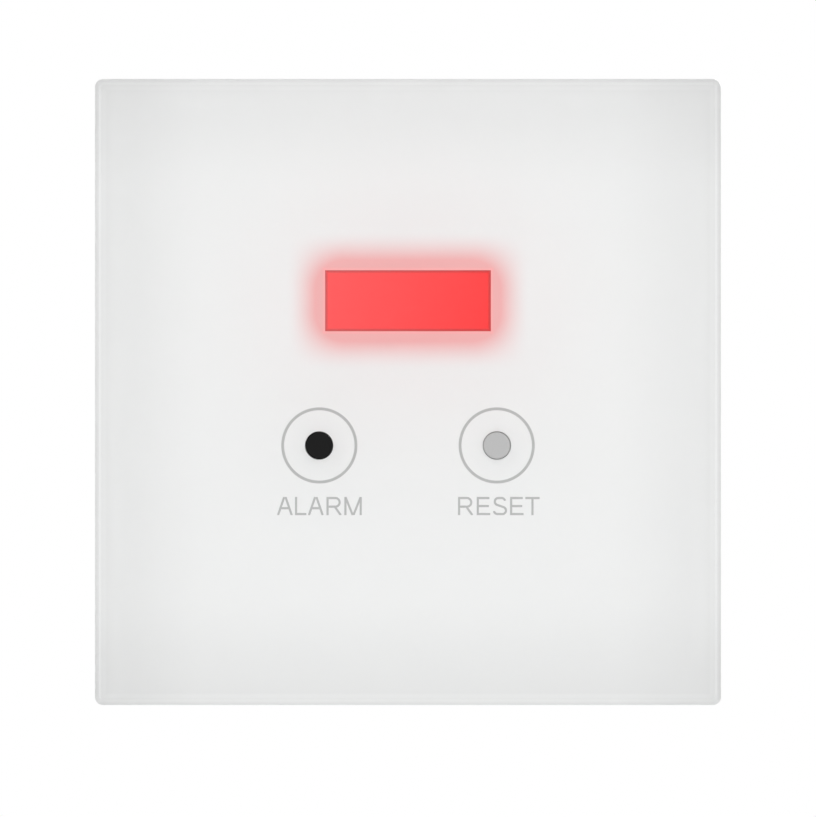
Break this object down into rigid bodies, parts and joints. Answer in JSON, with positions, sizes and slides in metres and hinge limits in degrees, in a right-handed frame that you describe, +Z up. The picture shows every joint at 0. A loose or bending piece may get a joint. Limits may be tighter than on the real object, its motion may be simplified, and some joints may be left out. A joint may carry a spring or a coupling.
{
  "type": "alarm display panel",
  "caption": "Flush-mounted square glass-front alarm panel with a lit red window, an alarm key and a reset key, a clipped-on frame, a steel mounting plate and a rear housing.",
  "frame": {"origin": "centre of the panel on the wall plane, where the frame's rear rim meets the wall", "axes": "+X to the right as seen from the room, +Z up, +Y into the wall; the glass looks along -Y"},
  "size_m": [0.086, 0.0354, 0.086],
  "materials": {
    "glass": "clear, polished, low iron",
    "white_print": "white screen print",
    "adhesive": "black foam tape",
    "frame_plastic": "fine spark-eroded grain",
    "red_lens": "translucent red, lit from behind",
    "reflector_plastic": "white, glossy",
    "lamp": "surface-mount lamp",
    "black_key": "black, satin",
    "grey_key": "mid grey, satin",
    "switch_plastic": "black",
    "switch_steel": "stamped sheet",
    "board": "green solder mask",
    "chip_plastic": "moulded black",
    "tinned_pin": "tin plated",
    "relay_plastic": "black",
    "capacitor_can": "drawn can",
    "header_plastic": "green moulded",
    "screw_steel": "zinc plated",
    "housing_plastic": "fine grain",
    "plate_steel": "galvanised sheet"
  },
  "bodies": {
    "panel": {"front_glass": "glass", "back_print": "white_print", "adhesive_frame": "adhesive", "window_lens": "red_lens", "front_frame": "frame_plastic", "light_box": "reflector_plastic", "indicator_leds": "lamp", "alarm_switch_body": "switch_plastic", "alarm_switch_cover": "switch_steel", "reset_switch_body": "switch_plastic", "reset_switch_cover": "switch_steel", "control_board": "board", "controller_chip": "chip_plastic", "buzzer": "chip_plastic", "control_board_screws": "screw_steel", "link_header": "chip_plastic", "link_pins": "tinned_pin", "link_socket": "chip_plastic", "main_board": "board", "relay": "relay_plastic", "capacitors": "capacitor_can", "regulator": "chip_plastic", "wiring_header": "header_plastic", "wiring_pins": "tinned_pin", "rear_housing": "housing_plastic", "mounting_plate": "plate_steel", "housing_screws": "screw_steel"},
    "alarm_key": {"alarm_plunger": "black_key", "alarm_switch_stem": "switch_plastic"},
    "reset_key": {"reset_plunger": "grey_key", "reset_switch_stem": "switch_plastic"}
  },
  "joints": [
    {"name": "alarm_key_press", "type": "slide", "parent": "panel", "child": "alarm_key", "axis": [0, 1, 0], "range_m": [0, 0.0005], "stiffness_N_per_m": 4000},
    {"name": "reset_key_press", "type": "slide", "parent": "panel", "child": "reset_key", "axis": [0, 1, 0], "range_m": [0, 0.0005], "stiffness_N_per_m": 4000}
  ]
}
